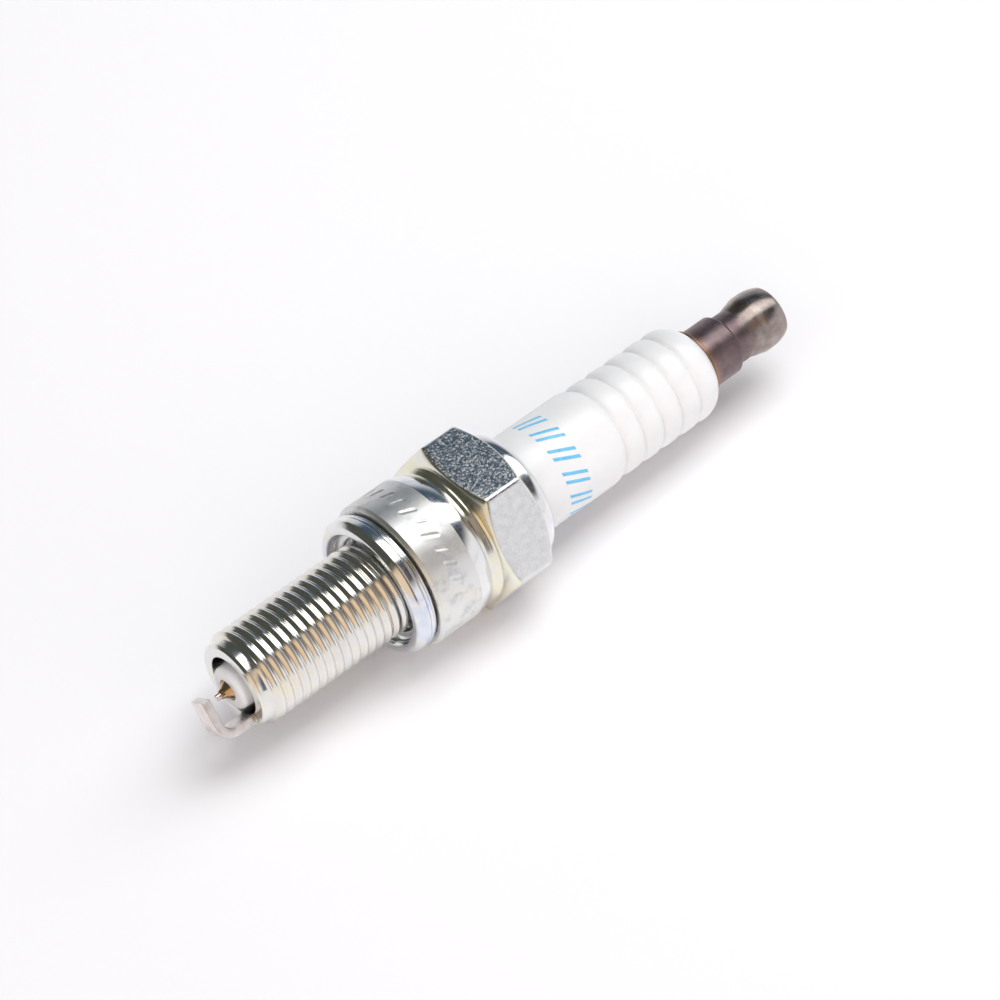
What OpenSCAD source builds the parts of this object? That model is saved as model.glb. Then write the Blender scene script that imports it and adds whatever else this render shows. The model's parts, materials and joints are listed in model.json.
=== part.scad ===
// Spark plug with a 10 mm thread, a 16 mm hex and a one-piece terminal.
// The plug lies on a flat of its hex. Its axis is X: the electrodes are at -X and the terminal is at +X.
// The origin is the centre of the sealing seat on the shell. Lengths are in millimetres.

/* [Thread] */
// Major diameter over the thread crests
thread_d = 9.9; // [9.8:0.05:9.9]
// Distance between neighbouring crests
thread_pitch = 1; // [0.9:0.05:1]
// Number of crests
thread_crests = 16; // [8:1:16]
// Distance from the sealing seat to the end of the shell
reach = 19; // [19:0.1:22]

/* [Shell] */
// Width across the flats of the hex
hex_af = 16; // [15.8:0.1:17]
// Length of the hex between the roots of its chamfers
hex_len = 6; // [5.4:0.1:6.4]
// Diameter of the seat flange
flange_d = 15.5; // [15.4:0.1:15.9]
// Diameter of the narrow groove between the flange and the hex
waist_d = 14.6; // [14.2:0.1:15]
// Outer diameter of the crimped rim
rim_d = 13.7; // [13.4:0.1:14]
// Diameter of the hole in the firing end
mouth_d = 6.3; // [6.2:0.1:6.6]

/* [Insulator] */
// Diameter of the plain part that the plug cap grips
body_d = 10.5; // [10.4:0.1:10.6]
// Diameter over the ribs
rib_d = 10.25; // [10.2:0.05:10.3]
// Distance between neighbouring grooves
rib_pitch = 2.5; // [2.2:0.1:2.5]
// Depth of each groove
rib_depth = 0.4; // [0.2:0.05:0.45]
// Diameter of the nose at its tip
nose_d = 4.5; // [4.2:0.1:4.6]
// How far the nose stands out of the shell
nose_out = 0.7; // [0:0.05:1]

/* [Terminal] */
// Diameter of the terminal's head
terminal_d = 6.35; // [6:0.05:6.6]
// Diameter of the neck below the head
neck_d = 5.4; // [5:0.1:5.8]
// Distance from the sealing seat to the top of the terminal
seat_to_top = 50.5; // [50:0.1:52]

/* [Electrodes] */
// Spark gap
gap = 1; // [0.6:0.05:1.2]
// Diameter of the centre electrode
electrode_d = 2.1; // [1.8:0.05:2.1]
// Diameter of the fine wire tip
tip_d = 0.65; // [0.6:0.05:0.8]
// Width of the ground electrode
strap_w = 2.3; // [2:0.1:2.6]
// Thickness of the ground electrode
strap_t = 0.9; // [0.8:0.05:1.1]
// Turn of the ground electrode about the axis, from straight up towards -Y
strap_turn = 142; // [0:1:360]

/* [Gasket] */
// Outer diameter of the gasket
gasket_d = 14.7; // [14:0.1:15]
// Thickness of the folded gasket
gasket_t = 2.2; // [2:0.05:2.3]
// Gap between the gasket and the seat at rest
gasket_gap = 0.2; // [0.1:0.01:0.3]

/* [Hidden] */
$fn = 64;

// Thread: the crests are flat rings, and the first one is a little way in from the end of the shell.
thread_r = thread_d / 2;
thread_depth = 0.6134 * thread_pitch;
crest_flat = thread_pitch / 8;
flank_angle = 30;
flank_run = thread_depth * tan(flank_angle);
root_r = thread_r - thread_depth;
relief_r = thread_r - 0.5;
pilot_len = 2.2;
pilot_r = 4.45;
pilot_chamfer = 0.25;
shell_end = -reach;
first_crest = shell_end + pilot_len;
last_crest = first_crest + (thread_crests - 1) * thread_pitch;

// Shell, from the seat up to the crimped rim
flange_r = flange_d / 2;
flange_len = 5;
seat_chamfer = 0.3;
waist_r = waist_d / 2;
waist_start = 6.7;
flare_start = 7;
hex_start = 7.8;
hex_end = hex_start + hex_len;
hex_corner_r = hex_af / 2 / cos(30);
hex_root_r = hex_af / 2 - 0.4;
hex_front_chamfer = 0.85;
hex_rear_chamfer = 1.15;
rim_r = rim_d / 2;
rim_end = 15.8;
curl_r = 1.3;

// Holes in the shell, and the insulator that fills them
mouth_r = mouth_d / 2;
mouth_chamfer = 0.1;
ledge_r = 2.85;
ledge_start = -7.4;
ledge_end = -6.6;
middle_r = 3.45;
wide_r = 6;
widening_start = 2.9;
widening_end = widening_start + wide_r - middle_r;
throat_start = 14.35;
throat_end = 14.8;
slip = 0.08;
body_r = body_d / 2;
throat_r = body_r + 0.02;
sealed_r = body_r - 0.1;
shoulder_start = 10.6;
shoulder_slope = 30;
packing_t = 0.3;

// Wire rings and talc between the insulator's shoulder and the rim
ring_r = (sealed_r + wide_r) / 2;
wire_r = (wide_r - sealed_r) / 2 - 0.03;
lower_ring_x = shoulder_start + (wide_r - slip - ring_r) * tan(shoulder_slope) + wire_r / cos(shoulder_slope);
upper_ring_x = throat_start - 0.3;

// Insulator above the shell
body_end = 25;
ribs = 5;
rib_r = rib_d / 2;
rib_edge = 0.8;
groove_r = rib_r - rib_depth;
first_groove = 26.6;
last_groove = first_groove + (ribs - 1) * rib_pitch;
insulator_end = last_groove + 3.25;
end_run = 2.4;
end_drop = 1.5;

// Nose of the insulator
nose_r = nose_d / 2;
nose_end = shell_end - nose_out;
nose_round = 0.8;
nose_root_r = 2.7;

// Bore through the insulator, and what is fused in it
electrode_r = electrode_d / 2;
bore_low_r = electrode_r + 0.05;
bore_high_r = 1.65;
bore_step = -3;
bore_step_end = bore_step + 0.5;
head_r = 1.5;
head_end = bore_step_end + 1.4;
core_r = 0.58;
core_start = shell_end + 1.5;
lower_glass_end = 1.5;
resistor_end = 9;
upper_glass_end = 13.5;
stem_end = 10.5;
stem_r = 1.3;
key_depth = 0.12;
key_len = 0.3;
key_pitch = 0.6;

// Terminal above the insulator
terminal_r = terminal_d / 2;
collar_len = 0.45;
collar_r = 3.7;
barrel_end = 43.8;
neck_start = 44.1;
neck_end = 45.9;
head_slope_end = 47.2;
head_slope_r = terminal_r - 0.15;
head_start = 47.8;
head_full_end = 48.6;
head_face_r = terminal_r - 0.45;

// Electrodes outside the nose
cone_start = nose_end + 0.1;
cone_end = cone_start - 1;
cone_end_r = 0.45;
tip_len = 0.5;
tip_depth = 0.3;
tip_end = cone_end - tip_len;
strap_face = tip_end - gap;
bend_r = 1;
leg_r = 2.95;
strap_past = 0.75;

// Gasket
sheet_t = 0.32;
gasket_r = gasket_d / 2;
gasket_back = -gasket_gap;
gasket_front = gasket_back - gasket_t;
lip_r = 4.75;
fold_r = 6;
inner_curl = 0.35;
outer_curl = 0.6;

// Turns a section, drawn with its radius along X and its place on the axis along Y, about the plug's axis.
module turned() {
    rotate([0, 90, 0]) rotate_extrude() children();
}

// A plain rectangular stretch of such a section.
module stretch(from, to, inner, outer) {
    translate([inner, from]) square([outer - inner, to - from]);
}

// A stretch whose outside leaves r_top level at x_top and has fallen to r_low, along an arc, at x_low.
module rounded(x_top, x_low, r_top, r_low) {
    from = min(x_top, x_low);
    to = max(x_top, x_low);
    run = to - from;
    drop = r_top - r_low;
    arc_r = (run * run + drop * drop) / (2 * drop);
    stretch(from, to, 0, r_low);
    intersection() {
        translate([r_top - arc_r, x_top]) circle(arc_r);
        stretch(from, to, 0, r_top);
    }
}

// Section of the pilot, the thread and the relief below the seat.
module thread_section() {
    crests = [for (i = [0:thread_crests - 1]) first_crest + i * thread_pitch];
    half_crest = crest_flat / 2;
    thread_start = first_crest - half_crest - (thread_r - pilot_r) * tan(flank_angle);
    polygon(concat(
        [[0, shell_end], [pilot_r - pilot_chamfer, shell_end], [pilot_r, shell_end + pilot_chamfer]],
        [[pilot_r, thread_start]],
        [for (x = crests) each [
            [thread_r, x - half_crest],
            [thread_r, x + half_crest],
            [root_r, x + half_crest + flank_run],
            [root_r, x + thread_pitch - half_crest - flank_run]
        ]],
        [[relief_r, last_crest + thread_pitch - half_crest], [relief_r, 0], [0, 0]]
    ));
}

// Section of the seat flange, its rounded shoulder, the waist and the flare below the hex.
module flange_section() {
    polygon([
        [0, 0],
        [flange_r - seat_chamfer, 0],
        [flange_r, seat_chamfer],
        [flange_r, flange_len],
        [0, flange_len]
    ]);
    rounded(flange_len, waist_start, flange_r, waist_r);
    polygon([
        [0, waist_start],
        [waist_r, waist_start],
        [waist_r, flare_start],
        [hex_root_r, hex_start],
        [0, hex_start]
    ]);
}

// Section of the rim, curled in over the upper ring.
module rim_section() {
    curl_start = rim_end - curl_r;
    stretch(hex_end - 0.5, curl_start, 0, rim_r);
    rounded(curl_start, rim_end, rim_r, rim_r - curl_r);
}

// The hex, with its corners turned off at both ends.
module hex_block() {
    intersection() {
        rotate([0, 90, 0]) translate([0, 0, hex_start]) rotate([0, 0, 30])
            cylinder(h = hex_len, r = hex_corner_r, $fn = 6);
        turned() polygon([
            [0, hex_start],
            [hex_root_r, hex_start],
            [hex_corner_r, hex_start + hex_front_chamfer],
            [hex_corner_r, hex_end - hex_rear_chamfer],
            [hex_root_r, hex_end],
            [0, hex_end]
        ]);
    }
}

// Section of the stepped hole through the shell.
module shell_bore_section() {
    polygon([
        [0, shell_end - 1],
        [mouth_r + mouth_chamfer, shell_end - 1],
        [mouth_r + mouth_chamfer, shell_end],
        [mouth_r, shell_end + mouth_chamfer],
        [mouth_r, ledge_start - (mouth_r - ledge_r)],
        [ledge_r, ledge_start],
        [ledge_r, ledge_end],
        [middle_r, ledge_end + middle_r - ledge_r],
        [middle_r, widening_start],
        [wide_r, widening_end],
        [wide_r, throat_start],
        [throat_r, throat_end],
        [throat_r, rim_end + 1],
        [0, rim_end + 1]
    ]);
}

module shell() {
    color([0.72, 0.71, 0.68]) difference() {
        union() {
            turned() {
                thread_section();
                flange_section();
                rim_section();
            }
            hex_block();
        }
        turned() shell_bore_section();
    }
}

// Section of the nose and of the part of the insulator inside the shell.
module insulator_inner_section() {
    seat_line = ledge_end + packing_t - ledge_r;
    fit_r = middle_r - slip;
    wide_fit_r = wide_r - slip;
    rounded(nose_end + nose_round, nose_end, nose_r, nose_r - nose_round);
    polygon([
        [0, nose_end + nose_round],
        [nose_r, nose_end + nose_round],
        [nose_root_r, seat_line + nose_root_r],
        [fit_r, seat_line + fit_r],
        [fit_r, widening_start + 2 * slip],
        [wide_fit_r, widening_end + 2 * slip],
        [wide_fit_r, shoulder_start],
        [sealed_r, shoulder_start + (wide_fit_r - sealed_r) * tan(shoulder_slope)],
        [sealed_r, throat_end],
        [body_r, rim_end],
        [0, rim_end]
    ]);
}

// Section of one rib: round at both edges and flat on top. The groove's sharp bottom is where two ribs meet.
module rib_section(from, to) {
    rounded(from + rib_edge, from, rib_r, groove_r);
    stretch(from + rib_edge, to - rib_edge, 0, rib_r);
    rounded(to - rib_edge, to, rib_r, groove_r);
}

// Section of the insulator above the shell. The last rib runs out in the round end.
module insulator_outer_section() {
    stretch(rim_end, body_end, 0, body_r);
    rounded(body_end, first_groove, body_r, groove_r);
    for (i = [0:ribs - 2]) {
        groove = first_groove + i * rib_pitch;
        rib_section(groove, groove + rib_pitch);
    }
    rounded(last_groove + rib_edge, last_groove, rib_r, groove_r);
    stretch(last_groove + rib_edge, insulator_end - end_run, 0, rib_r);
    rounded(insulator_end - end_run, insulator_end, rib_r, rib_r - end_drop);
}

module insulator() {
    color([0.95, 0.95, 0.96]) difference() {
        turned() {
            insulator_inner_section();
            insulator_outer_section();
        }
        turned() polygon([
            [0, nose_end - 1],
            [bore_low_r, nose_end - 1],
            [bore_low_r, bore_step],
            [bore_high_r, bore_step_end],
            [bore_high_r, insulator_end + 1],
            [0, insulator_end + 1]
        ]);
    }
}

// Section of the end of the terminal's stem. Its grooves key it into the glass.
module stem_section() {
    stretch(stem_end, upper_glass_end, 0, stem_r - key_depth);
    for (x = [stem_end:key_pitch:upper_glass_end - key_pitch]) stretch(x, x + key_len, 0, stem_r);
}

module terminal_stud() {
    collar_end = insulator_end + collar_len;
    color([0.36, 0.27, 0.25]) turned() {
        stem_section();
        stretch(upper_glass_end, insulator_end, 0, bore_high_r - slip);
        stretch(insulator_end, collar_end, 0, collar_r);
        stretch(collar_end, barrel_end, 0, terminal_r);
        polygon([
            [0, barrel_end],
            [terminal_r, barrel_end],
            [neck_d / 2, neck_start],
            [neck_d / 2, neck_end],
            [head_slope_r, head_slope_end],
            [terminal_r, head_start],
            [terminal_r, head_full_end],
            [0, head_full_end]
        ]);
        rounded(head_full_end, seat_to_top, terminal_r, head_face_r);
    }
}

// Fused glass fills what the electrode's head and the stem leave free in the bore.
module upper_glass_seal() {
    color([0.22, 0.24, 0.27]) turned() difference() {
        stretch(resistor_end, upper_glass_end, 0, bore_high_r);
        stem_section();
    }
}

module resistor() {
    color([0.12, 0.12, 0.13]) turned() stretch(lower_glass_end, resistor_end, 0, bore_high_r);
}

module lower_glass_seal() {
    color([0.22, 0.24, 0.27]) turned() difference() {
        stretch(bore_step_end, lower_glass_end, 0, bore_high_r);
        stretch(bore_step_end, head_end, 0, head_r);
    }
}

// The electrode's end is a cone that holds the wire tip. The copper core runs up to its head.
module centre_electrode() {
    color([0.55, 0.42, 0.33]) turned() difference() {
        polygon([
            [0, cone_end],
            [cone_end_r, cone_end],
            [electrode_r, cone_start],
            [electrode_r, bore_step],
            [head_r, bore_step_end],
            [head_r, head_end],
            [0, head_end]
        ]);
        stretch(cone_end, cone_end + tip_depth, 0, tip_d / 2);
        stretch(core_start, bore_step, 0, core_r);
    }
}

module electrode_core() {
    color([0.72, 0.38, 0.2]) turned() stretch(core_start, bore_step, 0, core_r);
}

module centre_tip() {
    color([0.8, 0.75, 0.73]) turned() stretch(tip_end, cone_end + tip_depth, 0, tip_d / 2);
}

// A flat strap, bent once across the end of the plug.
module ground_electrode() {
    bend_x = strap_face + bend_r;
    bend_y = leg_r - bend_r;
    outer_bend_r = bend_r + strap_t;
    color([0.68, 0.64, 0.62]) rotate([90 + strap_turn, 0, 0]) linear_extrude(strap_w, center = true) {
        translate([bend_x, leg_r]) square([shell_end - bend_x, strap_t]);
        difference() {
            intersection() {
                translate([bend_x, bend_y]) circle(outer_bend_r);
                translate([bend_x - outer_bend_r, bend_y]) square(outer_bend_r);
            }
            translate([bend_x, bend_y]) circle(bend_r);
        }
        translate([strap_face - strap_t, -strap_past]) square([strap_t, bend_y + strap_past]);
    }
}

module seat_packing() {
    inner = ledge_r + 0.03;
    outer = middle_r - 0.05;
    face = ledge_end - ledge_r;
    color([0.6, 0.6, 0.6]) turned() polygon([
        [inner, face + inner],
        [outer, face + outer],
        [outer, face + outer + packing_t],
        [inner, face + inner + packing_t]
    ]);
}

module wire_ring(x) {
    color([0.55, 0.55, 0.56]) turned() translate([ring_r, x]) circle(wire_r);
}

module lower_packing_ring() {
    wire_ring(lower_ring_x);
}

module upper_packing_ring() {
    wire_ring(upper_ring_x);
}

// Pressed talc, hollowed where it lies against the two wire rings.
module talc_ring() {
    overlap = 0.8 * wire_r;
    color([0.85, 0.84, 0.8]) turned() difference() {
        stretch(lower_ring_x + overlap, upper_ring_x - overlap, sealed_r, wide_r);
        for (x = [lower_ring_x, upper_ring_x]) translate([ring_r, x]) circle(wire_r);
    }
}

// Sheet steel folded to a ring. Its inner lip catches on the last crest of the thread and can't pass it.
module gasket() {
    hollow_from = gasket_front + sheet_t;
    hollow_to = gasket_back - sheet_t;
    fold_start = fold_r + inner_curl;
    curl_start = gasket_r - outer_curl;
    color([0.62, 0.62, 0.6]) turned() difference() {
        union() {
            stretch(gasket_back - sheet_t, gasket_back, lip_r, curl_start);
            stretch(gasket_front, gasket_back, fold_start, curl_start);
            stretch(gasket_front + outer_curl, gasket_back - outer_curl, curl_start, gasket_r);
            for (x = [gasket_front + outer_curl, gasket_back - outer_curl])
                translate([curl_start, x]) circle(outer_curl);
            translate([fold_start, gasket_front + inner_curl]) circle(inner_curl);
        }
        stretch(hollow_from, hollow_to, fold_start, curl_start);
    }
}

shell();
insulator();
terminal_stud();
upper_glass_seal();
resistor();
lower_glass_seal();
centre_electrode();
electrode_core();
centre_tip();
ground_electrode();
seat_packing();
lower_packing_ring();
talc_ring();
upper_packing_ring();
gasket();
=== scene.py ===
"""A small spark plug lying on a pale floor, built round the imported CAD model.

The plug's axis is X, with the terminal at +X. A place on it is given as x along the axis, r from the
axis, and a turn about the axis, from straight up (+Z) towards -Y. These sizes are in millimetres, and
turns are in degrees. Lights and the floor are placed in metres.
"""

import json
import math

import bmesh
import bpy
from mathutils import Matrix, Vector, noise


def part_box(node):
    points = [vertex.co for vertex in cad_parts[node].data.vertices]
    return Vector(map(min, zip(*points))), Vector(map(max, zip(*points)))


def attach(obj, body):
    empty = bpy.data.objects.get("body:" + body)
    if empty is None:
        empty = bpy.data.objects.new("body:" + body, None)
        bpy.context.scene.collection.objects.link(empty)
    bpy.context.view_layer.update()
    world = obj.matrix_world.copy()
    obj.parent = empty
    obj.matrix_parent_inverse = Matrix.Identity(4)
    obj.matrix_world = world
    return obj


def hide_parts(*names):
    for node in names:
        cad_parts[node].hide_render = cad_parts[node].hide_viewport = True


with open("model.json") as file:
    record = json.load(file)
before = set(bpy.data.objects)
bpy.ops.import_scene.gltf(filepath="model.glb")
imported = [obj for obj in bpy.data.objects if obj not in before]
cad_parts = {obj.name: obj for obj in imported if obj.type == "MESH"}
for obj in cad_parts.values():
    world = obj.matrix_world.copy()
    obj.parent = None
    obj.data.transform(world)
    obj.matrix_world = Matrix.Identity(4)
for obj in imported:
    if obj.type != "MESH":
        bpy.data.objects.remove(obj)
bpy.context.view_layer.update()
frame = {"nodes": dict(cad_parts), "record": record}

MM = 0.001
PLUG, GASKET = "plug", "gasket"


# ---------------------------------------------------------------- sizes


def node_box(node):
    """Lowest and highest corners of a CAD node, in millimetres."""
    low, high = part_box(node)
    return low / MM, high / MM


def mount(name):
    return next(m for m in frame["record"]["mounts"] if m["name"] == name)


shell_low, shell_high = node_box("shell")
insulator_low, insulator_high = node_box("insulator")
terminal_high = node_box("terminal_stud")[1]
gasket_low, gasket_high = node_box("gasket")
electrode_low, electrode_high = node_box("centre_electrode")
tip_low, tip_high = node_box("centre_tip")

SHELL_END = shell_low.x
RIM_END = shell_high.x
HEX_FLAT = shell_high.z
THREAD_R = mount("thread")["dims"]["r_mm"]
BODY_R = mount("cap_grip")["dims"]["r_mm"]
TERMINAL_R = mount("terminal_post")["dims"]["r_mm"]
NOSE_END = insulator_low.x
INSULATOR_END = insulator_high.x
TERMINAL_TOP = terminal_high.x
COLLAR_R = terminal_high.z
FLOOR = shell_low.z

NEAR_SIDE = 32  # the turn that faces the camera
PITCH = 1.0
THREAD_DEPTH = 0.26 * PITCH
CREST_HALF = 0.08 * PITCH
FLANK_RUN = 0.38 * PITCH
PILOT_R = 4.42
MOUTH_R = 3.15
FLANGE_R = 7.75
FLANGE_LEN = 5.0
WAIST_R = 7.3
WAIST_START = 6.7
HEX_START = 7.8
HEX_END = 13.8
HEX_ROOT_R = HEX_FLAT - 0.4
RIM_R = 6.85
BARREL_END = 43.8
NECK_X = (44.15, 45.9)
FINE_COLUMNS = 300


# ---------------------------------------------------------------- camera

CAMERA_TURN = math.radians(-40.518)
CAMERA_HEIGHT = math.radians(48.932)
CAMERA_ROLL = math.radians(-2.238)
CAMERA_DISTANCE = 364.76
CAMERA_TARGET = Vector((14.191, -0.052, 0))
SENSOR = 36.0
FOCAL_LENGTH = 136.75


def make_camera():
    """The photograph's camera, aimed at a point on the plug's axis."""
    back = Vector((
        math.sin(CAMERA_TURN) * math.cos(CAMERA_HEIGHT),
        -math.cos(CAMERA_TURN) * math.cos(CAMERA_HEIGHT),
        math.sin(CAMERA_HEIGHT),
    ))
    level = Vector((math.cos(CAMERA_TURN), math.sin(CAMERA_TURN), 0))
    upward = back.cross(level)
    right = level * math.cos(CAMERA_ROLL) + upward * math.sin(CAMERA_ROLL)
    up = upward * math.cos(CAMERA_ROLL) - level * math.sin(CAMERA_ROLL)
    data = bpy.data.cameras.new("camera")
    data.sensor_width = SENSOR
    data.lens = FOCAL_LENGTH
    data.clip_start = 0.01
    camera = bpy.data.objects.new("camera", data)
    camera.matrix_world = Matrix((right, up, back)).transposed().to_4x4()
    camera.matrix_world.translation = (CAMERA_TARGET + back * CAMERA_DISTANCE) * MM
    bpy.context.scene.collection.objects.link(camera)
    bpy.context.scene.camera = camera


make_camera()


# ---------------------------------------------------------------- mesh tools


def place(x, r, turn):
    """The point at x along the axis, r from it, at a turn about it."""
    a = math.radians(turn)
    return Vector((x, -r * math.sin(a), r * math.cos(a))) * MM


def smooth(edge0, edge1, value):
    """0 before edge0, 1 after edge1, and a smooth rise between them."""
    t = min(max((value - edge0) / (edge1 - edge0), 0.0), 1.0)
    return t * t * (3 - 2 * t)


def outline(*corners, steps=5):
    """Points (x, r) along straight lines between the corners. A corner with a third number is rounded
    to that radius."""
    points = []
    for i, corner in enumerate(corners):
        here = Vector(corner[:2])
        radius = corner[2] if len(corner) > 2 else 0
        if not radius or i in (0, len(corners) - 1):
            points.append(tuple(here))
            continue
        back = Vector(corners[i - 1][:2]) - here
        ahead = Vector(corners[i + 1][:2]) - here
        half = back.angle(ahead) / 2
        reach = min(radius / math.tan(half), 0.48 * back.length, 0.48 * ahead.length)
        centre = here + (back.normalized() + ahead.normalized()).normalized() * (reach / math.cos(half))
        start = here + back.normalized() * reach - centre
        end = here + ahead.normalized() * reach - centre
        sweep = start.angle_signed(end)
        for k in range(steps + 1):
            a = -sweep * k / steps
            turned = Vector((start.x * math.cos(a) - start.y * math.sin(a),
                             start.x * math.sin(a) + start.y * math.cos(a)))
            points.append(tuple(centre + turned))
    return points


def arc(x_top, x_low, r_top, r_low, steps=8):
    """Points of an arc, from -X to +X. It is level with the axis at x_top and has fallen to r_low at
    x_low."""
    run = abs(x_low - x_top)
    drop = r_top - r_low
    radius = (run * run + drop * drop) / (2 * drop)
    full = math.asin(min(1.0, run / radius))
    points = []
    for k in range(steps + 1):
        a = full * k / steps
        x = x_top + math.copysign(radius * math.sin(a), x_low - x_top)
        points.append((x, r_top - radius * (1 - math.cos(a))))
    return points if x_low > x_top else points[::-1]


def finish_mesh(name, mesh, body, materials, nodes=()):
    """Makes the piece smooth, gives it its materials, sets it on its body and hides the CAD nodes that it
    replaces.
    """
    piece = bpy.data.objects.new(name, mesh)
    bpy.context.scene.collection.objects.link(piece)
    for material in materials:
        mesh.materials.append(material)
    mesh.polygons.foreach_set("use_smooth", [True] * len(mesh.polygons))
    weighted = piece.modifiers.new("weighted_normals", "WEIGHTED_NORMAL")
    weighted.weight = 60
    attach(piece, body)
    if nodes:
        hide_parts(*nodes)
    return piece


def revolved_mesh(name, rows, columns=180, closed=False, zones=None):
    """A mesh through rows of points round the axis. A row is (x, r), or a function of the turn that
    gives them.

    Points that meet are welded, so a row may end in a helix, a ring or a point on the axis.
    zones gives each row the number of its material."""
    turns = [360 * j / columns for j in range(columns + 1)]
    points = []
    for row in rows:
        for turn in turns:
            x, r = row(turn) if callable(row) else row
            points.append(place(x, r, turn))
    width = columns + 1
    count = len(rows) if closed else len(rows) - 1
    faces = []
    face_zones = []
    for i in range(count):
        above = (i + 1) % len(rows)
        for j in range(columns):
            faces.append((i * width + j, i * width + j + 1, above * width + j + 1, above * width + j))
            face_zones.append(zones[i] if zones else 0)
    mesh = bpy.data.meshes.new(name)
    mesh.from_pydata(points, [], faces)
    mesh.polygons.foreach_set("material_index", face_zones)
    work = bmesh.new()
    work.from_mesh(mesh)
    bmesh.ops.remove_doubles(work, verts=work.verts, dist=0.0015 * MM)
    bmesh.ops.recalc_face_normals(work, faces=work.faces)
    work.to_mesh(mesh)
    work.free()
    return mesh


# ---------------------------------------------------------------- material tools


class Shader:
    """A material under construction: a Principled shader, and short ways to add and link nodes."""

    def __init__(self, name, **settings):
        self.material = bpy.data.materials.new(name)
        self.material.use_nodes = True
        self.tree = self.material.node_tree
        self.shader = self.tree.nodes["Principled BSDF"]
        for socket, value in settings.items():
            self.shader.inputs[socket.replace("_", " ")].default_value = value
        self.coords = self.tree.nodes.new("ShaderNodeTexCoord").outputs["Object"]

    def node(self, kind, inputs=(), **properties):
        made = self.tree.nodes.new("ShaderNode" + kind)
        for key, value in properties.items():
            setattr(made, key, value)
        for socket, value in dict(inputs).items():
            if isinstance(value, bpy.types.NodeSocket):
                self.tree.links.new(value, made.inputs[socket])
            else:
                made.inputs[socket].default_value = value
        return made

    def math(self, operation, a, b=0.0):
        return self.node("Math", {0: a, 1: b}, operation=operation).outputs[0]

    def stretched(self, x, y, z):
        """The object's coordinates in metres, multiplied along each axis."""
        return self.node("Mapping", {"Vector": self.coords, "Scale": (x, y, z)}).outputs[0]

    def noise(self, scale, detail=4.0, roughness=0.55, vector=None, distortion=0.0):
        inputs = {"Vector": vector or self.coords, "Scale": scale, "Detail": detail,
                  "Roughness": roughness, "Distortion": distortion}
        return self.node("TexNoise", inputs).outputs[0]

    def ramp(self, value, *stops):
        """A smooth blend through (position, colour or grey) stops."""
        made = self.node("ValToRGB", {0: value})
        ramp = made.color_ramp
        ramp.elements.remove(ramp.elements[1])
        for i, (position, colour) in enumerate(stops):
            stop = ramp.elements[0] if i == 0 else ramp.elements.new(position)
            stop.position = position
            stop.color = colour_of(colour)
        return made.outputs[0]

    def between(self, value, low, high, start=0.0, end=1.0):
        """value mapped so that low becomes start and high becomes end, and held there outside."""
        inputs = {"Value": value, "From Min": low, "From Max": high, "To Min": start, "To Max": end}
        return self.node("MapRange", inputs).outputs[0]

    def mix(self, factor, a, b):
        """Colour a where factor is 0 and b where it is 1."""
        made = self.node("Mix", {0: factor}, data_type="RGBA")
        for index, value in ((6, a), (7, b)):
            if isinstance(value, bpy.types.NodeSocket):
                self.tree.links.new(value, made.inputs[index])
            else:
                made.inputs[index].default_value = colour_of(value)
        return made.outputs[2]

    def axis_parts(self):
        """x along the plug's axis and r from it, both in millimetres."""
        parts = self.node("SeparateXYZ", {0: self.coords})
        squares = self.math("ADD", self.math("MULTIPLY", parts.outputs[1], parts.outputs[1]),
                            self.math("MULTIPLY", parts.outputs[2], parts.outputs[2]))
        r = self.math("MULTIPLY", self.math("SQRT", squares), 1 / MM)
        return self.math("MULTIPLY", parts.outputs[0], 1 / MM), r

    def bump(self, height, distance, strength=1.0, normal=None):
        inputs = {"Height": height, "Distance": distance * MM, "Strength": strength}
        if normal:
            inputs["Normal"] = normal
        return self.node("Bump", inputs).outputs[0]

    def connect(self, **sockets):
        for socket, value in sockets.items():
            self.tree.links.new(value, self.shader.inputs[socket.replace("_", " ")])
        return self.material


def colour_of(value):
    if isinstance(value, (int, float)):
        return (value, value, value, 1.0)
    return (*value, 1.0)


# ---------------------------------------------------------------- materials

SILVER = (0.80, 0.80, 0.79)
STRAW = (0.84, 0.82, 0.72)
GOLD = (0.82, 0.69, 0.49)
ROSE = (0.81, 0.77, 0.78)
STEEL_BLUE = (0.70, 0.74, 0.78)


def tinted_plating(s, scale):
    """The passivated plating's colour: silver that drifts to straw, rose and blue in soft patches."""
    drift = s.noise(scale, 3.0, 0.5, distortion=0.4)
    return s.ramp(drift, (0.30, STEEL_BLUE), (0.42, SILVER), (0.56, SILVER), (0.66, STRAW), (0.80, ROSE))


def thread_metal():
    """Bright zinc with a little yellow passivation, which lies thickest on the flanks."""
    s = Shader("plated_thread", Metallic=1.0)
    r = s.axis_parts()[1]
    rise = s.between(r, THREAD_R - THREAD_DEPTH, THREAD_R - 0.75 * THREAD_DEPTH)
    fall = s.between(r, THREAD_R - 0.15 * THREAD_DEPTH, THREAD_R - 0.5 * THREAD_DEPTH)
    patches = s.between(s.noise(700, 3.0), 0.3, 0.6, 0.2, 0.5)
    amount = s.math("MULTIPLY", s.math("MULTIPLY", rise, fall), patches)
    gold = s.ramp(s.noise(420, 2.0), (0.35, STRAW), (0.48, GOLD), (0.64, GOLD), (0.78, ROSE))
    colour = s.mix(amount, tinted_plating(s, 260), gold)
    lines = s.noise(1.0, 2.0, 0.6, s.stretched(9000, 500, 500))
    grain = s.noise(5200, 3.0)
    roughness = s.between(s.noise(1500, 4.0), 0.3, 0.7, 0.13, 0.24)
    normal = s.bump(lines, 0.0005, 0.4, s.bump(grain, 0.002, 0.4))
    return s.connect(Base_Color=colour, Roughness=roughness, Normal=normal)


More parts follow.
